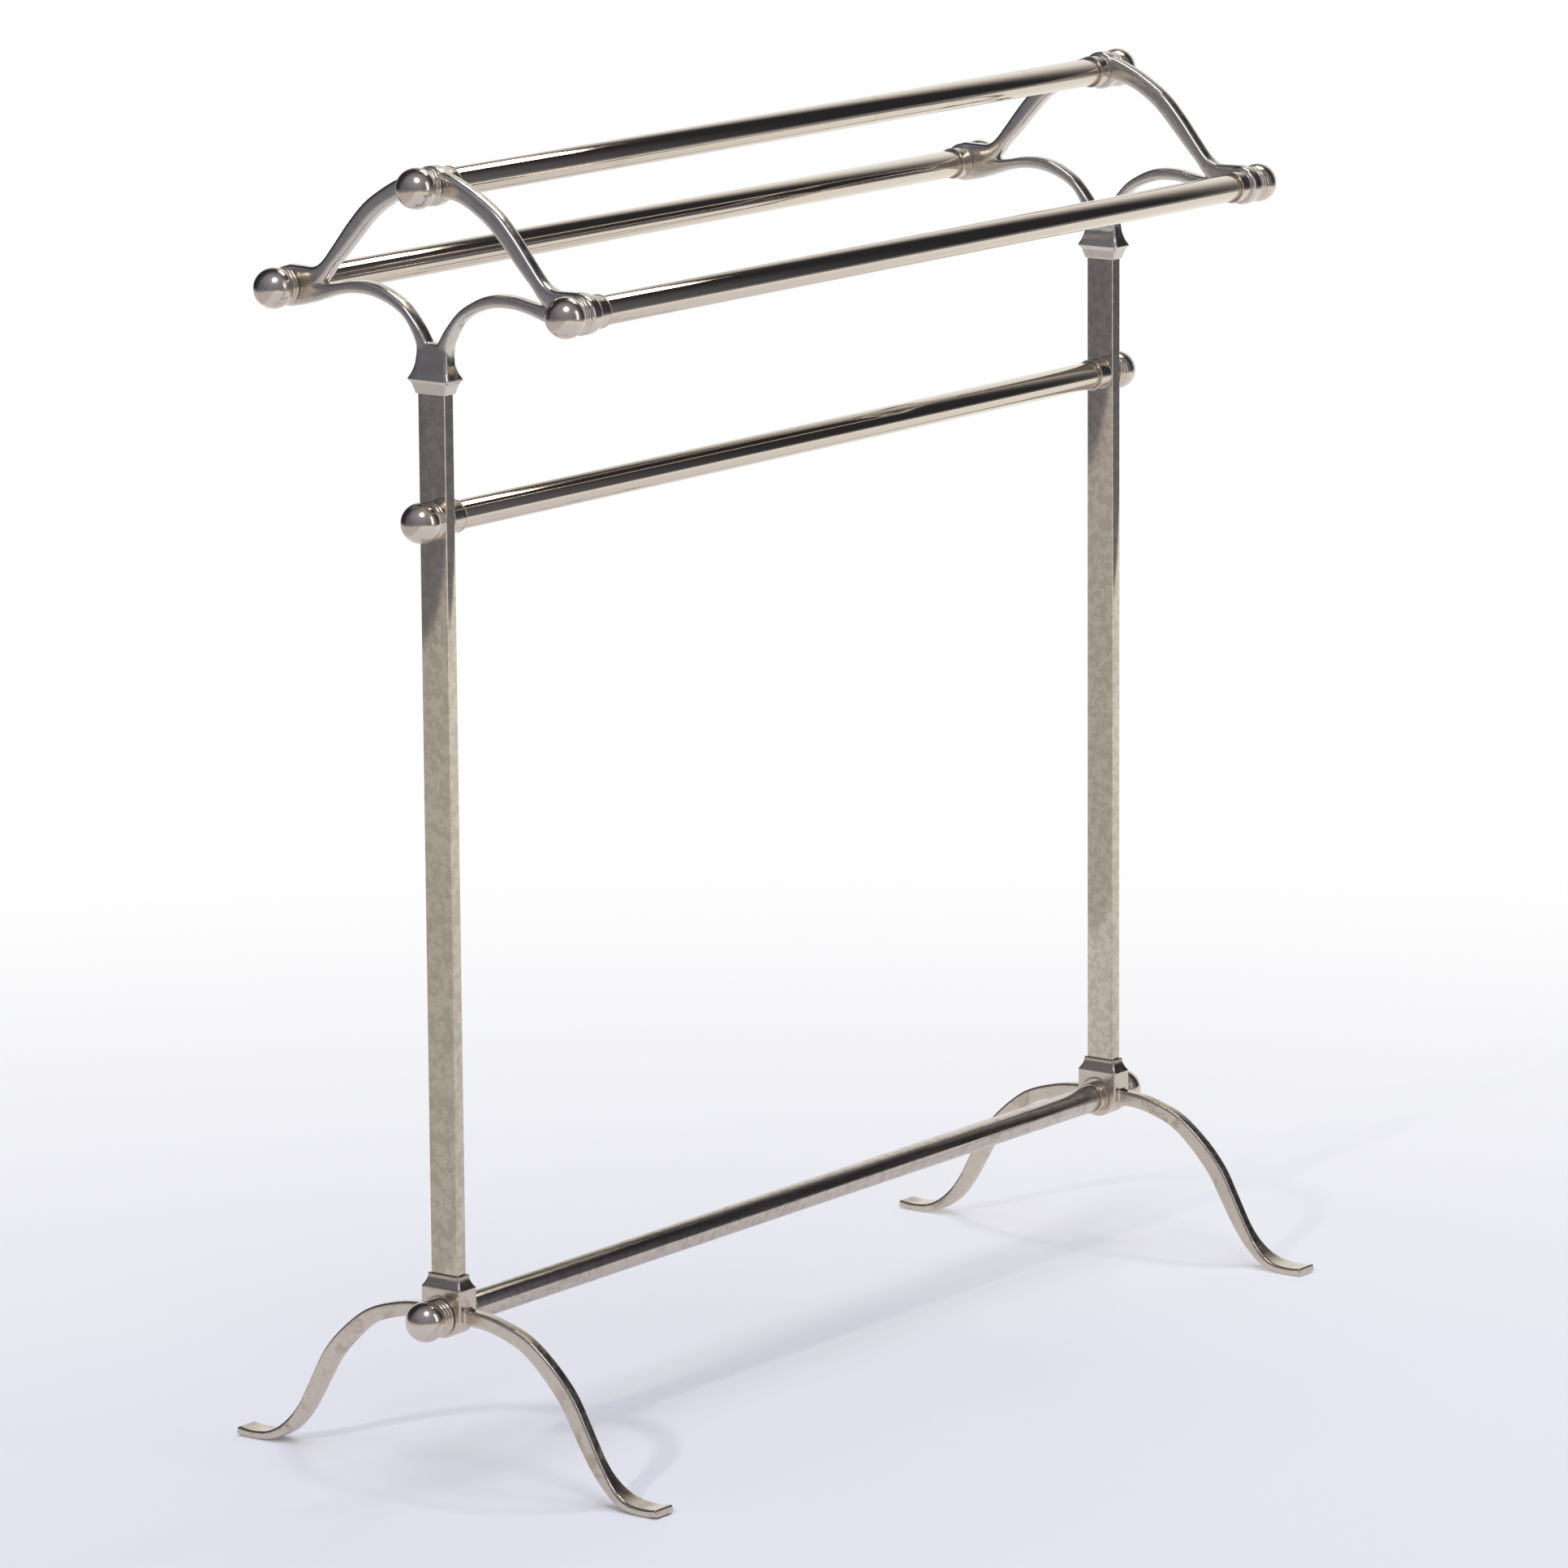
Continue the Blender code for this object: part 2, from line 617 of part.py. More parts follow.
def base_casting(label, side):
    """Block, moulded cap, round boss and two legs, cast in one."""
    x = side * HALF_SPACING
    name = label + "_base_casting"
    obj = add_part(name, stack_mesh(name, x, block_levels(), POST_CHAMFER), SATIN_NICKEL, 0.30)
    boss_name = name + "_boss"
    boss_length = 2 * (BLOCK_HALF_WIDTH + BASE_BOSS_PROUD)
    boss = cylinder_mesh(boss_name, BASE_BOSS_RADIUS, boss_length, FINE)
    helper = add_helper(boss_name, boss)
    lay_along_x(helper, x, 0, STRETCHER_Z, side)
    combine(obj, helper, "UNION")
    for half, turn in (("front", mirrored), ("back", list)):
        leg_name = f"{label}_{half}_leg"
        leg = add_helper(leg_name, bar_mesh(leg_name, x, turn(leg_path()), LEG_CHAMFER))
        combine(obj, leg, "UNION")
    combine(obj, cross_bore(name + "_bore", x, 0, STRETCHER_Z, 4 * BLOCK_HALF_WIDTH), "DIFFERENCE")
    seat_levels = [
        (CAP_TOP - CAP_SEAT, POST_WIDTH / 2 + FIT_GAP, POST_DEPTH / 2 + FIT_GAP),
        (CAP_TOP + CAP_SEAT, POST_WIDTH / 2 + FIT_GAP, POST_DEPTH / 2 + FIT_GAP),
    ]
    seat = stack_mesh(name + "_seat", x, seat_levels, POST_CHAMFER)
    combine(obj, add_helper(name + "_seat", seat), "DIFFERENCE")
    slot_width = POST_WIDTH / 2 - POST_WALL
    slot_depth = POST_DEPTH / 2 - POST_WALL
    slot_levels = [
        (TENON_END - FIT_GAP, slot_width, slot_depth),
        (CAP_TOP, slot_width, slot_depth),
    ]
    slot = stack_mesh(name + "_slot", x, slot_levels, POST_CHAMFER / 2)
    combine(obj, add_helper(name + "_slot", slot), "DIFFERENCE")
    weld(obj)


# ---------------------------------------------------------------- the stand


def main():
    rail("top_rail", 0.0, TOP_RAIL_Z)
    rail("front_rail", -SIDE_RAIL_Y, SIDE_RAIL_Z)
    rail("back_rail", SIDE_RAIL_Y, SIDE_RAIL_Z)
    rail("middle_rail", 0.0, MIDDLE_RAIL_Z)
    rail("stretcher_rail", 0.0, STRETCHER_Z)
    for label, side in (("left", -1), ("right", 1)):
        post(label, side)
        post_insert(label, side)
        post_tenon(label, side)
        head_casting(label, side)
        base_casting(label, side)
        for spot, y, z in head_stations():
            rail_station(f"{label}_{spot}", side, y, z, BOSS_OUT, BOSS_IN, 2)
        half_post = POST_WIDTH / 2
        rail_station(f"{label}_middle", side, 0.0, MIDDLE_RAIL_Z, half_post, half_post, 2)
        block = BLOCK_HALF_WIDTH + BASE_BOSS_PROUD
        rail_station(f"{label}_stretcher", side, 0.0, STRETCHER_Z, block, block, 3)


main()
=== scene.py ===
"""The looks of a free-standing nickel-plated towel stand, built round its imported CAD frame."""

import math

import bmesh
import bpy
from mathutils import Matrix, Vector


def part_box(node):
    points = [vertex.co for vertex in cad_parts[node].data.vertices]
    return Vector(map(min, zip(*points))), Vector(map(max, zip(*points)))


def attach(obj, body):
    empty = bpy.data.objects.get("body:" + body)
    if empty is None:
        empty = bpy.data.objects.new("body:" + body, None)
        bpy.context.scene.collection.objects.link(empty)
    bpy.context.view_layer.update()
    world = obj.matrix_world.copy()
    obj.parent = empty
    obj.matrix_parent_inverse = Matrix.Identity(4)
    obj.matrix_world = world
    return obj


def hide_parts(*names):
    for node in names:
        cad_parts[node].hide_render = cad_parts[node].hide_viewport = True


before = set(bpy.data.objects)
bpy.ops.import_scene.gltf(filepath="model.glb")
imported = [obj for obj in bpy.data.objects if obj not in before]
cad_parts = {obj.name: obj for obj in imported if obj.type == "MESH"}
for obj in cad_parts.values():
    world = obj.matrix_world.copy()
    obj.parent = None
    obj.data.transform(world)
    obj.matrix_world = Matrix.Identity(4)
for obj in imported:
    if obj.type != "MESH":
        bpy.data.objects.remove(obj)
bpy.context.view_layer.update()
MM = 0.001

# ---------------------------------------------------------------- camera

LENS_MM = 200.8
CAMERA_DISTANCE = 5.9406
CAMERA_AZIMUTH = math.radians(-53.405)
CAMERA_ELEVATION = math.radians(11.359)
CAMERA_ROLL = math.radians(-0.405)
AIM_HEIGHT = 0.3981
AIM_SIDEWAYS = -0.0038

TOWARDS_CAMERA = Vector(
    (
        math.sin(CAMERA_AZIMUTH) * math.cos(CAMERA_ELEVATION),
        -math.cos(CAMERA_AZIMUTH) * math.cos(CAMERA_ELEVATION),
        math.sin(CAMERA_ELEVATION),
    )
)
CAMERA_RIGHT = Vector((math.cos(CAMERA_AZIMUTH), math.sin(CAMERA_AZIMUTH), 0))
CAMERA_UP = TOWARDS_CAMERA.cross(CAMERA_RIGHT)
FLOOR_FORWARD = Vector((-math.sin(CAMERA_AZIMUTH), math.cos(CAMERA_AZIMUTH), 0))


def add_camera():
    """The view from the stand's left front, a little above it."""
    camera = bpy.data.objects.new("camera", bpy.data.cameras.new("camera"))
    camera.data.lens = LENS_MM
    camera.data.sensor_width = 36
    camera.data.clip_end = 60
    cos_roll, sin_roll = math.cos(CAMERA_ROLL), math.sin(CAMERA_ROLL)
    right = CAMERA_RIGHT * cos_roll + CAMERA_UP * sin_roll
    up = CAMERA_UP * cos_roll - CAMERA_RIGHT * sin_roll
    turn = Matrix((right, up, TOWARDS_CAMERA)).transposed().to_4x4()
    aim = Vector((0, 0, AIM_HEIGHT)) + CAMERA_RIGHT * AIM_SIDEWAYS
    camera.matrix_world = Matrix.Translation(aim + TOWARDS_CAMERA * CAMERA_DISTANCE) @ turn
    bpy.context.scene.collection.objects.link(camera)
    bpy.context.scene.camera = camera
    bpy.context.scene.view_settings.view_transform = "Standard"


add_camera()


# ---------------------------------------------------------------- small helpers


def linear(hex_colour, alpha=1.0):
    """A linear RGBA colour from an sRGB hex string."""
    channels = [int(hex_colour[i : i + 2], 16) / 255 for i in (1, 3, 5)]
    curve = [c / 12.92 if c <= 0.04045 else ((c + 0.055) / 1.055) ** 2.4 for c in channels]
    return (*curve, alpha)


def node(tree, kind, settings=None, links=None):
    """Adds a node; settings name its properties or input sockets, links feed its sockets."""
    made = tree.nodes.new(kind)
    for key, value in (settings or {}).items():
        if isinstance(key, str) and key in made.bl_rna.properties:
            setattr(made, key, value)
        else:
            made.inputs[key].default_value = value
    for key, source in (links or {}).items():
        tree.links.new(source, made.inputs[key])
    return made


def smooth_path(knots, per_span):
    """Points on a Catmull-Rom curve through tuples of numbers."""
    points = []
    last = len(knots) - 1
    for i in range(last):
        p0, p1 = knots[max(i - 1, 0)], knots[i]
        p2, p3 = knots[i + 1], knots[min(i + 2, last)]
        for step in range(per_span):
            t = step / per_span
            point = []
            for a, b, c, d in zip(p0, p1, p2, p3):
                bend = (2 * a - 5 * b + 4 * c - d) * t**2 + (3 * b - a - 3 * c + d) * t**3
                point.append(0.5 * (2 * b + (c - a) * t + bend))
            points.append(tuple(point))
    points.append(tuple(knots[-1]))
    return points


def finish_piece(name, bm, material, nodes, sharp_degrees=35):
    """Makes the piece's object at the origin, rides it on the stand and retires its CAD nodes."""
    bmesh.ops.remove_doubles(bm, verts=bm.verts, dist=0.00001)
    bmesh.ops.recalc_face_normals(bm, faces=bm.faces)
    mesh = bpy.data.meshes.new(name)
    bm.to_mesh(mesh)
    bm.free()
    mesh.materials.append(material)
    mesh.shade_smooth()
    if sharp_degrees:
        mesh.set_sharp_from_angle(angle=math.radians(sharp_degrees))
    piece = bpy.data.objects.new(name, mesh)
    bpy.context.scene.collection.objects.link(piece)
    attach(piece, "root")
    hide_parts(*nodes)
    return piece


def spin_profile(bm, profile, turns):
    """Turns (distance along X, radius) points a full turn about the X axis."""
    verts = [bm.verts.new((x, 0, radius)) for x, radius in profile]
    edges = [bm.edges.new(pair) for pair in zip(verts, verts[1:])]
    bmesh.ops.spin(
        bm,
        geom=verts + edges,
        cent=(0, 0, 0),
        axis=(1, 0, 0),
        angle=2 * math.pi,
        steps=turns,
        use_merge=True,
    )


def arc(x, radius, size, start, end, count):
    """Profile points on an arc of the given size; angles in degrees, 0 points along +X."""
    points = []
    for i in range(count + 1):
        angle = math.radians(start + (end - start) * i / count)
        points.append((x + size * math.cos(angle), radius + size * math.sin(angle)))
    return points


def turned_piece(name, profile, side, node_name, material, turns=96):
    """A closed turned piece; the profile's x runs outwards from the CAD node's inner end."""
    low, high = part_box(node_name)
    centre = (low + high) / 2
    start = low.x if side > 0 else high.x
    bm = bmesh.new()
    spin_profile(bm, profile, turns)
    place = Matrix.Translation((start, centre.y, centre.z)) @ Matrix.Diagonal((side, 1, 1, 1))
    bmesh.ops.transform(bm, matrix=place, verts=bm.verts)
    return finish_piece(name, bm, material, [node_name])


def section_point(angle, half_width, half_depth, squareness):
    """A point on a rounded rectangle: the squarer it is, the tighter its corners."""
    power = 2 / squareness
    c, s = math.cos(angle), math.sin(angle)
    across = math.copysign(abs(c) ** power, c) * half_width
    return across, math.copysign(abs(s) ** power, s) * half_depth


def sweep(bm, stations, squareness, sides=48):
    """Extrudes a rounded rectangle through stations of (centre, along depth, half depth, half width)."""
    spoke = bm.verts.layers.int.get("spoke") or bm.verts.layers.int.new("spoke")
    ring = bmesh.ops.create_circle(bm, cap_ends=True, segments=sides, radius=1)["verts"]
    for i, vert in enumerate(ring):
        vert[spoke] = i
    edges = list({e for v in ring for e in v.link_edges})

    def put(verts, station):
        centre, depth_way, half_depth, half_width = station
        for vert in verts:
            angle = 2 * math.pi * vert[spoke] / sides
            across, deep = section_point(angle, half_width, half_depth, squareness)
            vert.co = centre + Vector((across, 0, 0)) + depth_way * deep

    put(ring, stations[0])
    for station in stations[1:]:
        grown = bmesh.ops.extrude_edge_only(bm, edges=edges)["geom"]
        ring = [g for g in grown if isinstance(g, bmesh.types.BMVert)]
        edges = [g for g in grown if isinstance(g, bmesh.types.BMEdge)]
        put(ring, station)
    bmesh.ops.contextual_create(bm, geom=edges)


def fused(name, bm, voxel, passes, is_crisp):
    """Melts overlapping closed shapes into one skin and eases it, less where it should stay crisp."""
    mesh = bpy.data.meshes.new(name)
    bmesh.ops.recalc_face_normals(bm, faces=bm.faces)
    bm.to_mesh(mesh)
    bm.free()
    holder = bpy.data.objects.new(name, mesh)
    bpy.context.scene.collection.objects.link(holder)
    remesh = holder.modifiers.new("skin", "REMESH")
    remesh.mode = "VOXEL"
    remesh.voxel_size = voxel
    graph = bpy.context.evaluated_depsgraph_get()
    skin = bpy.data.meshes.new_from_object(holder.evaluated_get(graph))
    bpy.data.objects.remove(holder, do_unlink=True)
    bpy.data.meshes.remove(mesh)
    eased = bmesh.new()
    eased.from_mesh(skin)
    bpy.data.meshes.remove(skin)
    soft = [v for v in eased.verts if not is_crisp(v.co)]
    for step in range(passes):
        verts = eased.verts if step < 2 else soft
        bmesh.ops.smooth_vert(
            eased, verts=verts, factor=0.5, use_axis_x=True, use_axis_y=True, use_axis_z=True
        )
    return eased


# ---------------------------------------------------------------- materials


def new_material(name):
    """A material with nodes; gives it with its node tree and its Principled shader."""
    material = bpy.data.materials.new(name)
    material.use_nodes = True
    tree = material.node_tree
    return material, tree, tree.nodes["Principled BSDF"]


def nickel(name, clean, stained, stain_mm, stain_share, roughness, scratch_mm, scratch_depth, dull=0.9):
    """Nickel plate: a clean colour, a stained colour in patches, fine scratches and pits.

    scratch_mm gives the scratches' size along X, Y and Z, so that they run along the piece, and
    dull says how much rougher the stains are.
    """
    material, tree, shader = new_material(name)
    spot = node(tree, "ShaderNodeTexCoord").outputs["Object"]
    patches = node(
        tree,
        "ShaderNodeTexNoise",
        {"Scale": 1 / (stain_mm * MM), "Detail": 6.0, "Roughness": 0.62, "Distortion": 0.6},
        {"Vector": spot},
    )
    stains = node(
        tree,
        "ShaderNodeMapRange",
        {"From Min": 0.62 - stain_share, "From Max": 0.78 - stain_share, "interpolation_type": "SMOOTHSTEP"},
        {"Value": patches.outputs["Fac"]},
    )
    tint = node(
        tree,
        "ShaderNodeMix",
        {"data_type": "RGBA", 6: linear(clean), 7: linear(stained)},
        {0: stains.outputs["Result"]},
    )
    pits = node(
        tree,
        "ShaderNodeTexNoise",
        {"Scale": 1 / (1.1 * MM), "Detail": 3.0, "Roughness": 0.7},
        {"Vector": spot},
    )
    pitted = node(
        tree,
        "ShaderNodeMapRange",
        {"From Min": 0.70, "From Max": 0.80, "To Max": 0.3},
        {"Value": pits.outputs["Fac"]},
    )
    speckled = node(
        tree,
        "ShaderNodeMix",
        {"data_type": "RGBA", 7: linear("#5e5145")},
        {0: pitted.outputs["Result"], 6: tint.outputs[2]},
    )
    lines = node(
        tree,
        "ShaderNodeMapping",
        {"Scale": tuple(1 / (size * MM) for size in scratch_mm)},
        {"Vector": spot},
    )
    scratches = node(
        tree,
        "ShaderNodeTexNoise",
        {"Scale": 1.0, "Detail": 4.0, "Roughness": 0.6},
        {"Vector": lines.outputs["Vector"]},
    )
    dulled = node(
        tree,
        "ShaderNodeMapRange",
        {"From Min": 0.35, "From Max": 0.75, "To Min": roughness * 0.75, "To Max": roughness * 1.5},
        {"Value": scratches.outputs["Fac"]},
    )
    duller = node(
        tree,
        "ShaderNodeMath",
        {"operation": "MULTIPLY_ADD", 1: roughness * dull},
        {0: stains.outputs["Result"], 2: dulled.outputs["Result"]},
    )
    relief = node(
        tree,
        "ShaderNodeBump",
        {"Strength": 1.0, "Distance": scratch_depth * MM},
        {"Height": scratches.outputs["Fac"]},
    )
    shader.inputs["Metallic"].default_value = 1.0
    tree.links.new(speckled.outputs[2], shader.inputs["Base Color"])
    tree.links.new(duller.outputs["Value"], shader.inputs["Roughness"])
    tree.links.new(relief.outputs["Normal"], shader.inputs["Normal"])
    return material


# Bright nickel plate on drawn tube, buffed lengthwise: a mirror with faint hairlines.
RAIL_NICKEL = nickel(
    "bright_nickel_plate_on_tube", "#d8ccbb", "#c5b6a1", 60, 0.02, 0.07, (90, 0.8, 0.8), 0.0006
)
# The low rail's plate, scuffed and dulled by feet.
WORN_NICKEL = nickel(
    "scuffed_nickel_plate_on_tube", "#c8beb3", "#b7ada2", 8, 0.15, 0.18, (60, 2, 2), 0.0008, 0.06
)
# Bright nickel plate on turned brass, buffed all over.
TURNED_NICKEL = nickel(
    "bright_nickel_plate_on_turned_brass", "#d6cabb", "#c0b19d", 14, 0.0, 0.19, (3, 3, 3), 0.0003
)
# Nickel plate on a cast frame, polished by hand over a slightly wavy skin.
CAST_NICKEL = nickel(
    "polished_nickel_plate_on_casting", "#d4cdc2", "#bfc1b2", 22, 0.06, 0.20, (6, 6, 6), 0.0006, 0.3
)
# Old nickel plate on flat tube, gone dull and mottled with grey-green and brown tarnish.
TARNISHED_NICKEL = nickel(
    "tarnished_nickel_plate", "#d0c5b3", "#beb4a2", 6, 0.20, 0.05, (2, 2, 12), 0.0006, 0.12
)
# Satin nickel plate on cast legs, rubbed soft and a little pink where the plate is thin.
SATIN_NICKEL = nickel(
    "satin_nickel_plate_on_casting", "#d0c5b5", "#c2b4a2", 18, 0.10, 0.21, (5, 5, 5), 0.0006
)


def brass():
    """Bare machined brass, seen only if the stand is taken apart: turning marks and a warm shine."""
    material, tree, shader = new_material("machined_brass")
    spot = node(tree, "ShaderNodeTexCoord").outputs["Object"]
    marks = node(
        tree, "ShaderNodeTexNoise", {"Scale": 1 / (0.6 * MM), "Detail": 2.0}, {"Vector": spot}
    )
    tone = node(
        tree,
        "ShaderNodeMix",
        {"data_type": "RGBA", 6: linear("#c9a45c"), 7: linear("#a98342")},
        {0: marks.outputs["Fac"]},
    )
    dull = node(
        tree, "ShaderNodeMapRange", {"To Min": 0.25, "To Max": 0.4}, {"Value": marks.outputs["Fac"]}
    )
    shader.inputs["Metallic"].default_value = 1.0
    tree.links.new(tone.outputs[2], shader.inputs["Base Color"])
    tree.links.new(dull.outputs["Result"], shader.inputs["Roughness"])
    return material


MACHINED_BRASS = brass()

# ---------------------------------------------------------------- rails and fittings

SIDES = (("left", -1), ("right", 1))
RAILS = ("top", "front", "back", "middle", "stretcher")
RAIL_NODES = {spot: f"{spot}_rail" for spot in RAILS}
GROOVE = 0.8 * MM
EDGE_ROUND = 0.35 * MM


def make_rail(spot):
    """A drawn tube with its ends rounded over and its bore open."""
    node_name = RAIL_NODES[spot]
    low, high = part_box(node_name)
    length, radius = high.x - low.x, (high.z - low.z) / 2
    wall = 1.0 * MM
    outer = arc(length - EDGE_ROUND, radius - EDGE_ROUND, EDGE_ROUND, 90, 0, 3)
    start = arc(EDGE_ROUND, radius - EDGE_ROUND, EDGE_ROUND, 180, 90, 3)
    profile = start + outer + [(length, radius - wall), (0, radius - wall), start[0]]
    material = WORN_NICKEL if spot == "stretcher" else RAIL_NICKEL
    turned_piece(node_name, profile, 1, node_name, material, 128)


def make_ferrule(label, side, spot):
    """The sleeve over a rail end, with a fine rounded ring at each end."""
    node_name = f"{label}_{spot}_ferrule"
    low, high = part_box(node_name)
    rail_low, rail_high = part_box(RAIL_NODES[spot])
    length, crest = high.x - low.x, (high.z - low.z) / 2
    bore = (rail_high.z - rail_low.z) / 2 + 0.1 * MM
    ring = 0.4 * MM
    profile = arc(ring, crest - ring, ring, 180, 0, 8)
    profile += arc(length - ring, crest - ring, ring, 180, 0, 8)
    profile += [(length, bore), (0, bore), profile[0]]
    turned_piece(node_name, profile, side, node_name, TURNED_NICKEL)


def make_finial(label, side, spot, beads):
    """A ball on a neck of round beads with sharp grooves between them."""
    node_name = f"{label}_{spot}_finial"
    low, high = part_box(node_name)
    length, ball = high.x - low.x, (high.z - low.z) / 2
    centre = length - ball
    shoulder = 0.91 * ball
    neck_end = centre - math.sqrt(ball**2 - shoulder**2)
    bead_length = neck_end / beads
    groove, crest = shoulder - 1.3 * MM, shoulder + 0.3 * MM
    profile = [(0, 0), (0, groove)]
    for bead in range(beads):
        for i in range(1, 12):
            t = i / 12
            bulge = math.sqrt(1 - (2 * t - 1) ** 2)
            profile.append(((bead + t) * bead_length, groove + (crest - groove) * bulge))
        profile.append(((bead + 1) * bead_length, groove if bead < beads - 1 else shoulder - GROOVE / 2))
    join = 180 - math.degrees(math.asin(shoulder / ball))
    profile += arc(centre, 0, ball, join, 0, 40)
    profile[-1] = (length, 0)
    turned_piece(node_name, profile, side, node_name, TURNED_NICKEL)


# ---------------------------------------------------------------- posts


def make_post(label):
    """Flat tube with narrow chamfers down its four corners."""
    node_name = f"{label}_post"
    low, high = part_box(node_name)
    bm = bmesh.new()
    bmesh.ops.create_cube(bm, size=1)
    place = Matrix.Translation((low + high) / 2) @ Matrix.Diagonal((*(high - low), 1))
    bmesh.ops.transform(bm, matrix=place, verts=bm.verts)
    uprights = [e for e in bm.edges if abs((e.verts[0].co - e.verts[1].co).normalized().z) > 0.9]
    bmesh.ops.bevel(
        bm, geom=uprights, offset=0.9 * MM, segments=3, profile=0.5, affect="EDGES", material=-1
    )
    ends = [f for f in bm.faces if abs(f.normal.z) > 0.9]
    bmesh.ops.inset_region(bm, faces=ends, thickness=1.2 * MM)
    caps = [f for f in bm.faces if abs(f.normal.z) > 0.9 and len(f.verts) > 4]
    bmesh.ops.bridge_loops(bm, edges=list({e for f in caps for e in f.edges}))
    bmesh.ops.delete(bm, geom=caps, context="FACES_ONLY")
    finish_piece(node_name, bm, TARNISHED_NICKEL, [node_name], 50)


# ---------------------------------------------------------------- castings

# Edges of the head casting's arms, in millimetres: distance out from the middle and height above
# the side rails, outer edge then inner edge.
UPPER_ARM = (
    (0, 84.5, 0, 64), (12, 81.8, 11, 66), (24, 77.2, 21.5, 64.2), (38, 70, 33, 59.2),
    (54, 59.3, 47.2, 49.5), (67.6, 45.4, 59.2, 37.4), (80, 30.2, 72, 23.6), (90, 18.4, 81, 14.6),
    (97.5, 14, 88, 6), (107, 13.7, 101, -5), (119, 14, 119, -6),
)  # fmt: skip
LOWER_ARM = (
    (119, 7, 119, -13.8), (106.5, 5.5, 108, -11.8), (96, 4.6, 99, -9.6), (87, 3.8, 90, -6.7),
    (77, 5.2, 78.6, -3.2), (66, 7.2, 65.5, -0.9), (53, 7.5, 51, -1.2), (42, 5.3, 38, -4.6),
    (31.5, 0.6, 28.3, -9.1), (21.5, -5.9, 21.8, -14.2), (11.4, -16.8, 16.9, -21.2),
    (6.3, -24.2, 13.6, -28.2), (1.8, -31.5, 12.7, -34), (-1.5, -38, 12.4, -39),
)  # fmt: skip
ARM_WIDTH = 10.6 * MM
ARM_INBOARD = 1.0 * MM
HEAD_VOXEL = 0.62 * MM
BASE_VOXEL = 0.60 * MM
# A boss's reach outwards and inwards from its post's middle, its radius and its edge rounding.
HEAD_BOSS = (4.5 * MM, 6.8 * MM, 13.1 * MM, 2.2 * MM)
BASE_BOSS = (9.3 * MM, 9.3 * MM, 14.2 * MM, 0.8 * MM)
# The head stays crisp below this height on its collar, and the base between its legs' knees.
COLLAR_CRISP = 13 * MM
KNEE_CRISP = 24 * MM


def arm_stations(x, middle, edges, way):
    """Upright sections along an arm, from its outer and inner edges; way is its side along Y."""
    stations = []
    for outer_y, outer_z, inner_y, inner_z in smooth_path(edges, 6):
        outer = Vector((x, way * outer_y * MM, middle + outer_z * MM))
        inner = Vector((x, way * inner_y * MM, middle + inner_z * MM))
        across = outer - inner
        half = across.length / 2
        stations.append(((outer + inner) / 2, across.normalized(), half, ARM_WIDTH / 2))
    return stations


def level_stations(x, levels):
    """Level sections for a sweep going upwards; each level is (z, half width, half depth)."""
    return [(Vector((x, 0, z)), Vector((0, 1, 0)), depth, width) for z, width, depth in levels]


def add_boss(bm, place, reach_out, reach_in, radius, round_edge):
    """A round boss along X; reach_out faces the finial."""
    before = set(bm.verts)
    profile = [(reach_out, 0)]
    profile += arc(reach_out - round_edge, radius - round_edge, round_edge, 0, 90, 6)
    profile += arc(-reach_in + round_edge, radius - round_edge, round_edge, 90, 180, 6)
    profile.append((-reach_in, 0))
    spin_profile(bm, profile, 64)
    fresh = [v for v in bm.verts if v not in before]
    bmesh.ops.remove_doubles(bm, verts=fresh, dist=0.00001)
    fresh = [v for v in bm.verts if v not in before]
    bmesh.ops.transform(bm, matrix=place, verts=fresh)


def neck_stations(x, side, foot):
    """The collar's hollow moulding, its pointed lip and the neck that leans in to meet the arms."""
    shape = (
        (0, 6.2, 12.35, 0), (1.2, 6.25, 12.5, 0), (3.6, 6.7, 13.4, 0), (7.1, 7.4, 14.8, 0),
        (8.9, 8.7, 16.5, 0), (9.6, 8.95, 16.85, 0), (10.4, 8.6, 16.6, 0), (13.6, 7.0, 15.0, 0),
        (18.6, 5.8, 13.2, 0.1), (22, 5.5, 12.65, 0.3), (26, 5.3, 12.35, 0.65), (29.5, 5.1, 12.2, 0.9),
        (32.5, 4.9, 12.3, 1.0),
    )  # fmt: skip
    stations = []
    for up, half_width, half_depth, lean in smooth_path(shape, 3):
        middle = Vector((x - side * lean * MM, 0, foot + up * MM))
        stations.append((middle, Vector((0, 1, 0)), half_depth * MM, half_width * MM))
    return stations


def make_head(label, side):
    """Three bosses, the upper arch, two lower arms, the neck and the collar, cast in one."""
    node_name = f"{label}_head_casting"
    low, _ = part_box(node_name)
    post_low, post_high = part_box(f"{label}_post")
    x = (post_low.x + post_high.x) / 2
    side_height = sum(corner.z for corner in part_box("front_rail")) / 2
    top_height = sum(corner.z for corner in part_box("top_rail")) / 2
    reach = sum(corner.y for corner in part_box("back_rail")) / 2
    bm = bmesh.new()
    for way in (-1, 1):
        for edges in (UPPER_ARM, LOWER_ARM):
            sweep(bm, arm_stations(x - side * ARM_INBOARD, side_height, edges, way), 4.5)
    sweep(bm, neck_stations(x, side, low.z), 14)
    for y, z in ((0, top_height), (-reach, side_height), (reach, side_height)):
        place = Matrix.Translation((x, y, z)) @ Matrix.Diagonal((side, 1, 1, 1))
        add_boss(bm, place, *HEAD_BOSS)
    crisp_top = low.z + COLLAR_CRISP
    eased = fused(node_name, bm, HEAD_VOXEL, 10, lambda co: co.z < crisp_top)
    finish_piece(node_name, eased, CAST_NICKEL, [node_name], 0)


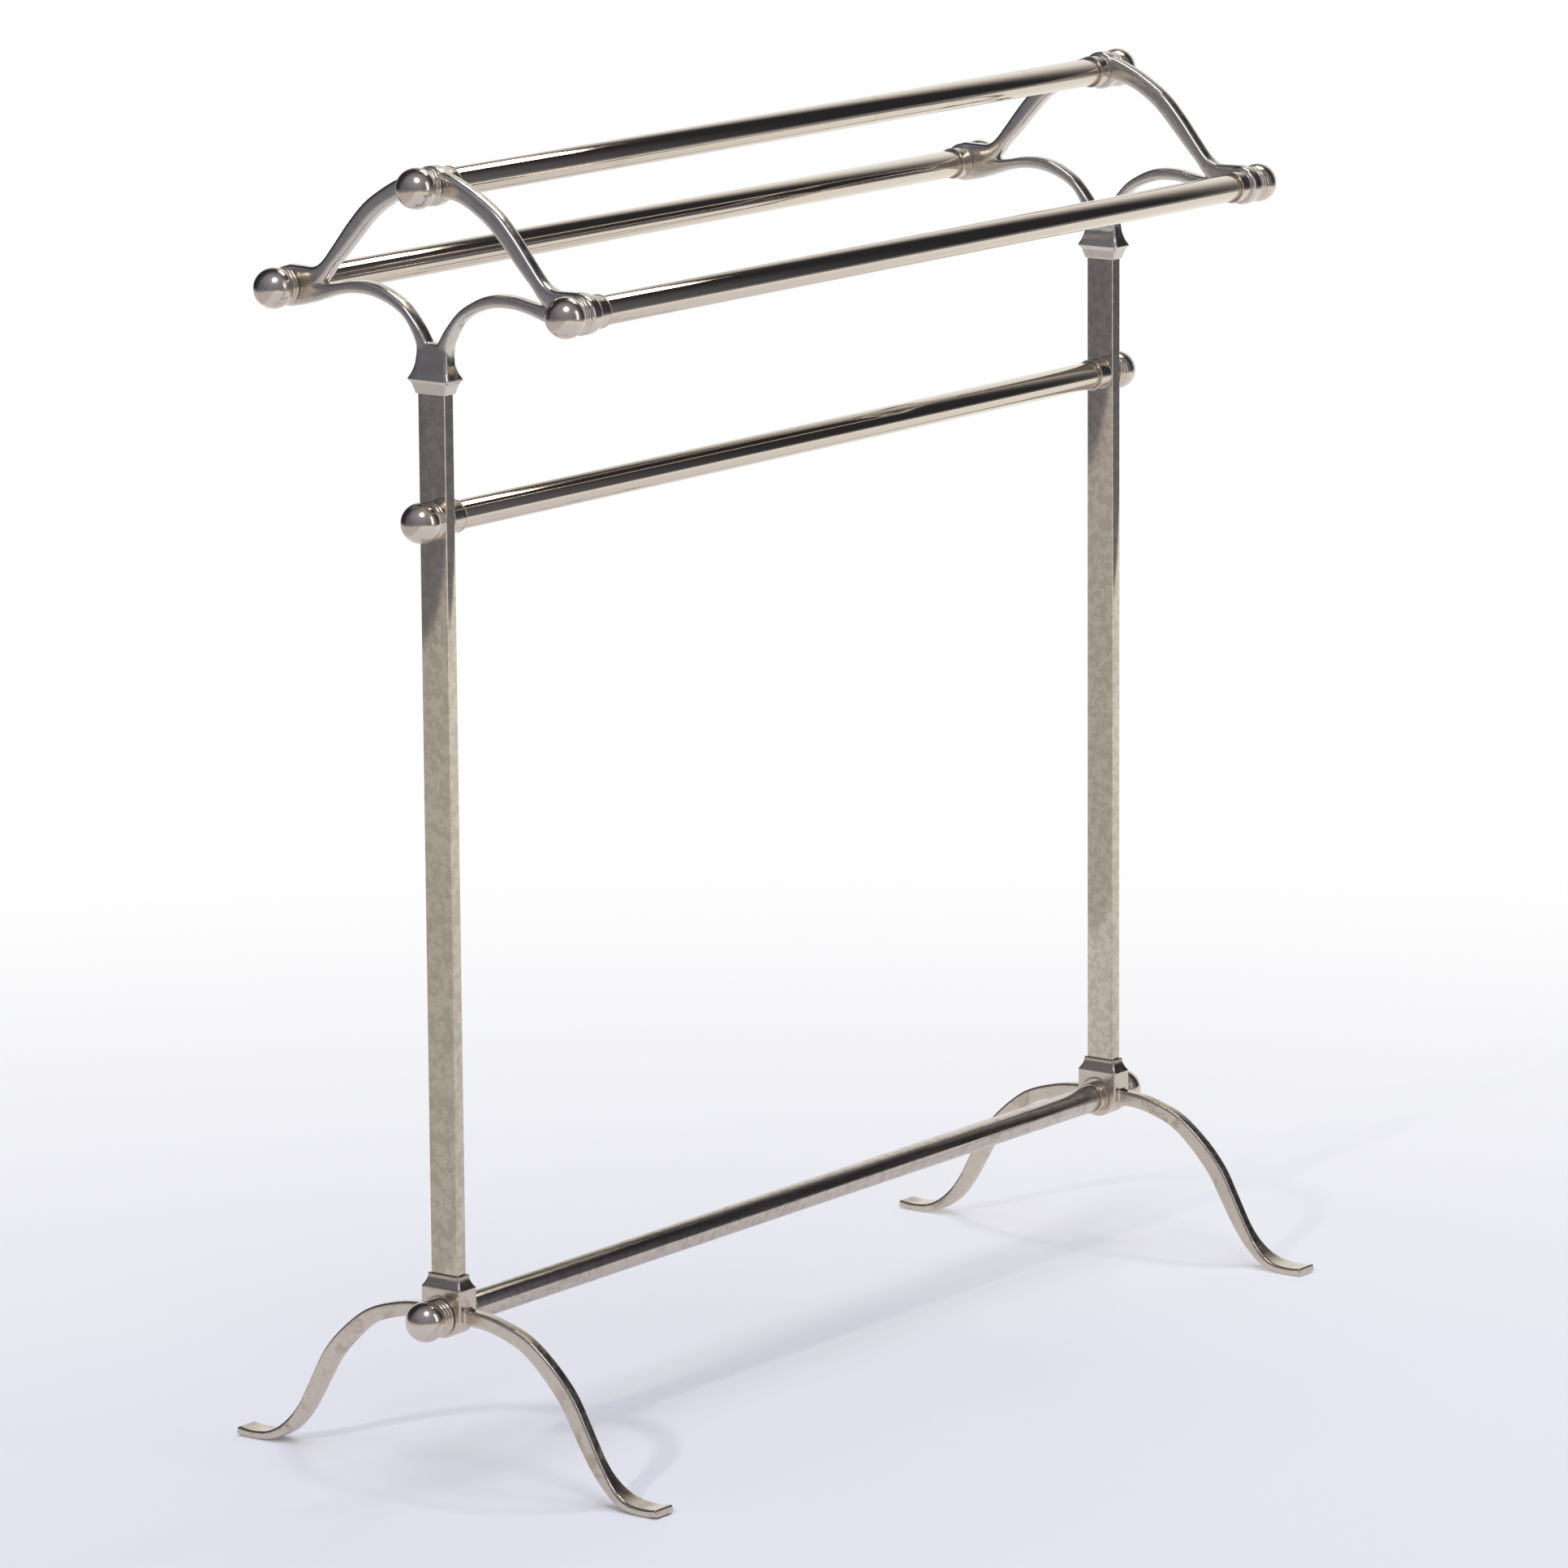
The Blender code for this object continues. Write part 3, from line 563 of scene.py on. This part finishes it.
# One leg's middle line: distance out, height, depth and width, in millimetres.
LEG = (
    (6, 108, 11, 8.6), (19, 108.4, 10.4, 8.6), (37, 106.6, 10, 8.6), (59, 100, 10.4, 8.6),
    (73, 91.5, 10.9, 8.6), (87.8, 78.2, 11.6, 8.6), (99.2, 64.7, 11.8, 8.6),
    (108.6, 48.6, 11.4, 8.6), (114.5, 38, 10.9, 8.6), (121, 27.2, 10, 8.8), (128, 18.2, 9, 9.8),
    (135.5, 11.2, 7.8, 12.4), (143, 6.4, 6.6, 15.8), (151, 3.7, 5.8, 18.2), (160, 2.7, 5.3, 18.8),
    (168, 2.75, 5.2, 18.8), (175.2, 3.7, 5.2, 18.8),
)  # fmt: skip


def leg_stations(x, way):
    """Sections along a leg's middle line, square to it; way is its side along Y."""
    points = smooth_path(LEG, 5)
    stations = []
    for i, (y, z, depth, width) in enumerate(points):
        before, after = points[max(i - 1, 0)], points[min(i + 1, len(points) - 1)]
        along = Vector((0, way * (after[0] - before[0]), after[1] - before[1])).normalized()
        across = Vector((1, 0, 0)).cross(along)
        centre = Vector((x, way * y * MM, z * MM))
        stations.append((centre, across, depth / 2 * MM, width / 2 * MM))
    return stations


def make_base(label, side):
    """The block with its hollow-moulded cap, the round boss and two cabriole legs, cast in one."""
    node_name = f"{label}_base_casting"
    _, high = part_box(node_name)
    post_low, post_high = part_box(f"{label}_post")
    x = (post_low.x + post_high.x) / 2
    axis = sum(corner.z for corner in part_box("stretcher_rail")) / 2
    bm = bmesh.new()
    for way in (-1, 1):
        sweep(bm, leg_stations(x, way), 9)
    block = (
        (axis - 3 * MM, 9 * MM, 16.2 * MM),
        (axis + 18.8 * MM, 9 * MM, 16.2 * MM),
        (axis + 19.6 * MM, 8.9 * MM, 16.1 * MM),
    )
    cap = (
        (axis + 19.7 * MM, 8.2 * MM, 15.4 * MM), (high.z - 6.4 * MM, 7.5 * MM, 14.5 * MM),
        (high.z - 4.4 * MM, 6.6 * MM, 13.4 * MM), (high.z - 2.2 * MM, 6.15 * MM, 12.9 * MM),
        (high.z, 6.1 * MM, 12.6 * MM),
    )  # fmt: skip
    sweep(bm, level_stations(x, block), 26)
    sweep(bm, level_stations(x, ((axis + 10 * MM, 8.2 * MM, 15.4 * MM), *smooth_path(cap, 3))), 26)
    place = Matrix.Translation((x, 0, axis)) @ Matrix.Diagonal((side, 1, 1, 1))
    add_boss(bm, place, *BASE_BOSS)
    eased = fused(node_name, bm, BASE_VOXEL, 4, lambda co: abs(co.y) < KNEE_CRISP)
    finish_piece(node_name, eased, SATIN_NICKEL, [node_name], 0)


# ---------------------------------------------------------------- studio


# How far the floor runs from the stand, in metres, as the camera sees it.
FLOOR_AHEAD = 9.0
FLOOR_BEHIND = 5.5
FLOOR_LEFT = 3.25
FLOOR_RIGHT = 2.9
# The paper stops this far to the left, and bare boards go on from there, drawn as a painted grey glow rather
# than lit.
PAPER_EDGE = 0.78


def add_floor():
    """Pale paper that runs out to a pure white painted glow away from the stand, which also lightens the
    shadows there, with boards to its left that are a flat painted grey glow.
    """
    bm = bmesh.new()
    bmesh.ops.create_grid(bm, x_segments=1, y_segments=1, size=1)
    for vert in bm.verts:
        sideways = -FLOOR_LEFT if vert.co.x < 0 else FLOOR_RIGHT
        forwards = -FLOOR_BEHIND if vert.co.y < 0 else FLOOR_AHEAD
        vert.co = CAMERA_RIGHT * sideways + FLOOR_FORWARD * forwards
    mesh = bpy.data.meshes.new("paper_floor")
    bm.to_mesh(mesh)
    bm.free()
    floor = bpy.data.objects.new("paper_floor", mesh)
    bpy.context.scene.collection.objects.link(floor)
    material, tree, shader = new_material("seamless_paper_with_painted_glow")
    mesh.materials.append(material)
    shader.inputs["Roughness"].default_value = 0.9
    shader.inputs["Specular IOR Level"].default_value = 0.1
    spot = node(tree, "ShaderNodeTexCoord").outputs["Object"]
    past_edge = node(
        tree,
        "ShaderNodeVectorMath",
        {"operation": "DOT_PRODUCT", 1: tuple(CAMERA_RIGHT * -1 - FLOOR_FORWARD * 0.123)},
        {0: spot},
    )
    on_boards = node(
        tree,
        "ShaderNodeMapRange",
        {"From Min": PAPER_EDGE, "From Max": PAPER_EDGE + 0.02},
        {"Value": past_edge.outputs["Value"]},
    )
    tone = node(
        tree,
        "ShaderNodeMix",
        {"data_type": "RGBA", 6: linear("#edeef4"), 7: linear("#cdc1ae")},
        {0: on_boards.outputs["Result"]},
    )
    tree.links.new(tone.outputs[2], shader.inputs["Base Color"])
    # Painted glow: how far from the stand the floor's own emission takes over from the lit paper.
    start = FLOOR_FORWARD * -0.8
    away = node(
        tree, "ShaderNodeVectorMath", {"operation": "DISTANCE", 1: tuple(start)}, {0: spot}
    )
    fade = node(
        tree,
        "ShaderNodeMapRange",
        {"From Min": 0.2, "From Max": 2.6, "interpolation_type": "SMOOTHSTEP"},
        {"Value": away.outputs["Value"]},
    )
    # The painted glow's colour: white on the paper, grey on the boards, which glow all over.
    glow_tone = node(
        tree,
        "ShaderNodeMix",
        {"data_type": "RGBA", 6: (1, 1, 1, 1), 7: linear("#cfccd0")},
        {0: on_boards.outputs["Result"]},
    )
    glow = node(tree, "ShaderNodeEmission", {"Strength": 1.0}, {"Color": glow_tone.outputs[2]})
    glow_share = node(
        tree,
        "ShaderNodeMath",
        {"operation": "MAXIMUM"},
        {0: fade.outputs["Result"], 1: on_boards.outputs["Result"]},
    )
    mixed = node(
        tree,
        "ShaderNodeMixShader",
        links={0: glow_share.outputs["Value"], 1: shader.outputs["BSDF"], 2: glow.outputs["Emission"]},
    )
    tree.links.new(mixed.outputs["Shader"], tree.nodes["Material Output"].inputs["Surface"])


def add_room():
    """Surroundings: a white sweep beyond the stand, a dim room elsewhere and a paler lower half."""
    world = bpy.data.worlds.new("studio")
    bpy.context.scene.world = world
    world.use_nodes = True
    tree = world.node_tree
    tree.nodes.clear()
    way = node(tree, "ShaderNodeTexCoord").outputs["Generated"]
    facing = node(
        tree, "ShaderNodeVectorMath", {"operation": "DOT_PRODUCT", 1: tuple(FLOOR_FORWARD)}, {0: way}
    )
    height = node(tree, "ShaderNodeSeparateXYZ", links={"Vector": way})
    backdrop_way = FLOOR_FORWARD * 0.966 + CAMERA_RIGHT * 0.259
    on_backdrop = node(
        tree, "ShaderNodeVectorMath", {"operation": "DOT_PRODUCT", 1: tuple(backdrop_way)}, {0: way}
    )
    across_share = node(
        tree,
        "ShaderNodeMapRange",
        {"From Min": 0.70, "From Max": 0.94, "interpolation_type": "SMOOTHSTEP"},
        {"Value": on_backdrop.outputs["Value"]},
    )
    below_top = node(
        tree,
        "ShaderNodeMapRange",
        {"From Min": 0.78, "From Max": 0.60, "interpolation_type": "SMOOTHSTEP"},
        {"Value": height.outputs["Z"]},
    )
    sweep_share = node(
        tree,
        "ShaderNodeMath",
        {"operation": "MULTIPLY"},
        {0: across_share.outputs["Result"], 1: below_top.outputs["Result"]},
    )
    wall_tone = node(
        tree,
        "ShaderNodeMapRange",
        {"From Min": -0.2, "From Max": 0.0, "To Min": 0.25, "To Max": 0.17},
        {"Value": height.outputs["Z"]},
    )
    turned_back = node(
        tree,
        "ShaderNodeMapRange",
        {"From Min": 0.35, "From Max": -0.15, "To Min": 0.18, "interpolation_type": "SMOOTHSTEP"},
        {"Value": facing.outputs["Value"]},
    )
    below_horizon = node(
        tree,
        "ShaderNodeMapRange",
        {"From Min": -0.05, "From Max": -0.17},
        {"Value": height.outputs["Z"]},
    )
    lit = node(
        tree,
        "ShaderNodeMath",
        {"operation": "MAXIMUM"},
        {0: turned_back.outputs["Result"], 1: below_horizon.outputs["Result"]},
    )
    walls = node(
        tree,
        "ShaderNodeMath",
        {"operation": "MULTIPLY"},
        {0: wall_tone.outputs["Result"], 1: lit.outputs["Value"]},
    )
    bounce = CAMERA_UP * 0.672 + TOWARDS_CAMERA * 0.741
    near_bounce = node(
        tree, "ShaderNodeVectorMath", {"operation": "DOT_PRODUCT", 1: tuple(bounce)}, {0: way}
    )
    halo = node(
        tree,
        "ShaderNodeMapRange",
        {"From Min": 0.40, "From Max": 1.0, "To Max": 0.20},
        {"Value": near_bounce.outputs["Value"]},
    )
    glow = node(
        tree,
        "ShaderNodeMath",
        {"operation": "ADD"},
        {0: walls.outputs["Value"], 1: halo.outputs["Result"]},
    )
    room = node(
        tree,
        "ShaderNodeVectorMath",
        {"operation": "SCALE", 0: (0.98, 1.0, 1.22)},
        {"Scale": glow.outputs["Value"]},
    )
    seen = node(
        tree,
        "ShaderNodeMix",
        {"data_type": "RGBA", 7: (1, 1, 1, 1)},
        {0: sweep_share.outputs["Value"], 6: room.outputs["Vector"]},
    )
    direct = node(tree, "ShaderNodeLightPath").outputs["Is Camera Ray"]
    backdrop = node(
        tree, "ShaderNodeMix", {"data_type": "RGBA", 7: (1, 1, 1, 1)}, {0: direct, 6: seen.outputs[2]}
    )
    light = node(tree, "ShaderNodeBackground", {"Strength": 1.0}, {"Color": backdrop.outputs[2]})
    out = node(tree, "ShaderNodeOutputWorld")
    tree.links.new(light.outputs["Background"], out.inputs["Surface"])


LAMP_AIM_HEIGHT = 0.45


def add_light(name, shape, size, watts, colour, place):
    """An area light aimed at the stand; place is metres along the camera's right, up and back."""
    sideways, upwards, backwards = place
    data = bpy.data.lights.new(name, "AREA")
    data.shape = shape
    data.size = size[0]
    data.size_y = size[-1]
    data.energy = watts
    data.color = linear(colour)[:3]
    lamp = bpy.data.objects.new(name, data)
    aim = Vector((0, 0, LAMP_AIM_HEIGHT))
    offset = CAMERA_RIGHT * sideways + CAMERA_UP * upwards + TOWARDS_CAMERA * backwards
    turn = offset.to_track_quat("Z", "Y").to_matrix().to_4x4()
    lamp.matrix_world = Matrix.Translation(aim + offset) @ turn
    bpy.context.scene.collection.objects.link(lamp)
    return lamp


def main():
    """Builds the studio, then every piece, and gives the hidden CAD pieces bare brass."""
    add_room()
    add_floor()
    add_light("umbrella", "DISK", (1.1,), 14, "#ffffff", (0.0, 2.1, 2.3))
    add_light("back_strip", "RECTANGLE", (0.9, 0.3), 8, "#fffaf2", (0.57, 2.03, -0.44))
    add_light("side_window", "RECTANGLE", (0.6, 2.2), 9, "#ffffff", (2.6, 0.75, 1.5))
    hidden = add_light("left_lamp", "DISK", (0.2,), 34, "#fff6ea", (-2.04, 1.13, 3.27))
    hidden.visible_glossy = False
    hidden = add_light("ceiling_bounce", "RECTANGLE", (3.0, 3.0), 60, "#f0f2ff", (0.0, 3.0, 0.6))
    hidden.visible_glossy = False
    for spot in RAILS:
        make_rail(spot)
    for label, side in SIDES:
        for spot in RAILS:
            make_ferrule(label, -side, spot)
            make_finial(label, side, spot, 3 if spot == "stretcher" else 2)
        make_post(label)
        make_head(label, side)
        make_base(label, side)
    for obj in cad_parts.values():
        if not obj.hide_render:
            obj.data.materials.clear()
            obj.data.materials.append(MACHINED_BRASS)


main()
